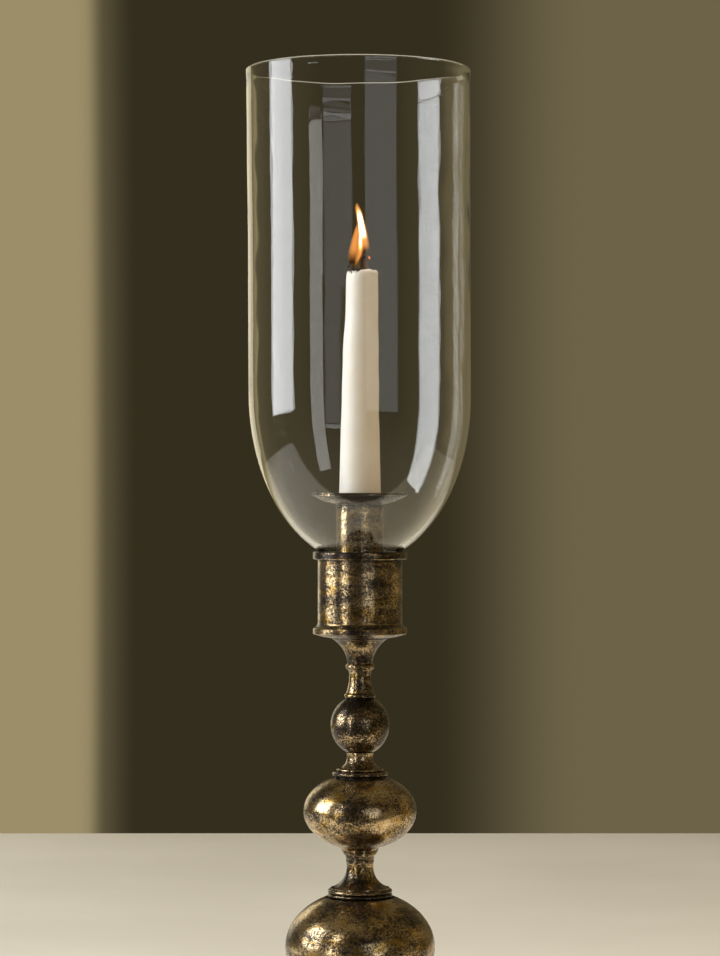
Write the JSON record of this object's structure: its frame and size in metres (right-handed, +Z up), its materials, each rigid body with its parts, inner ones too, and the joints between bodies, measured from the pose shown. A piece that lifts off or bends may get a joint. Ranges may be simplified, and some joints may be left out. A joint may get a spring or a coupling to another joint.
{
  "type": "hurricane candle lantern",
  "caption": "Tall open glass shade standing in the collar of a turned brass candlestick, round a dinner candle with a drip pan.",
  "frame": {"origin": "middle of the felt under the foot, on the surface that the lantern stands on", "axes": "+Z up along the turned axis, towards the open rim of the shade; +X is the way the burnt end of the wick bends"},
  "size_m": [0.15, 0.15, 0.574],
  "materials": {
    "antique_brass": "polished, antiqued with dark mottling",
    "glass": "clear, blown, glossy",
    "wax": "satin ivory wax",
    "wick": "braided cotton, charred at the end",
    "cork": "pressed cork",
    "felt": "pressed felt",
    "iron": "rough as cast",
    "steel": "zinc plated",
    "flame": "glowing gas"
  },
  "bodies": {
    "candlestick": {"felt_pad": "felt", "foot": "antique_brass", "ballast_weight": "iron", "bottom_washer": "steel", "bottom_nut": "steel", "tie_rod": "steel", "lower_spool": "antique_brass", "large_ball": "antique_brass", "middle_spool": "antique_brass", "middle_ball": "antique_brass", "upper_spool": "antique_brass", "small_ball": "antique_brass", "neck": "antique_brass", "trumpet": "antique_brass", "collar_base": "antique_brass", "collar_tube": "antique_brass", "collar_ring": "antique_brass", "shade_seat_ring": "cork", "socket_tube": "antique_brass", "socket_plug": "antique_brass", "candle_rest": "antique_brass"},
    "shade": {"glass_shade": "glass"},
    "pan": {"drip_pan": "antique_brass"},
    "taper": {"candle": "wax", "wick": "wick"}
  },
  "joints": [
    {"name": "shade_lift", "type": "slide", "parent": "candlestick", "child": "shade", "axis": [0, 0, 1], "range_m": [0, 0.1]},
    {"name": "pan_lift", "type": "slide", "parent": "shade", "child": "pan", "axis": [0, 0, 1], "range_m": [0, 0.28]},
    {"name": "candle_lift", "type": "slide", "parent": "pan", "child": "taper", "axis": [0, 0, 1], "range_m": [0, 0.28]}
  ]
}
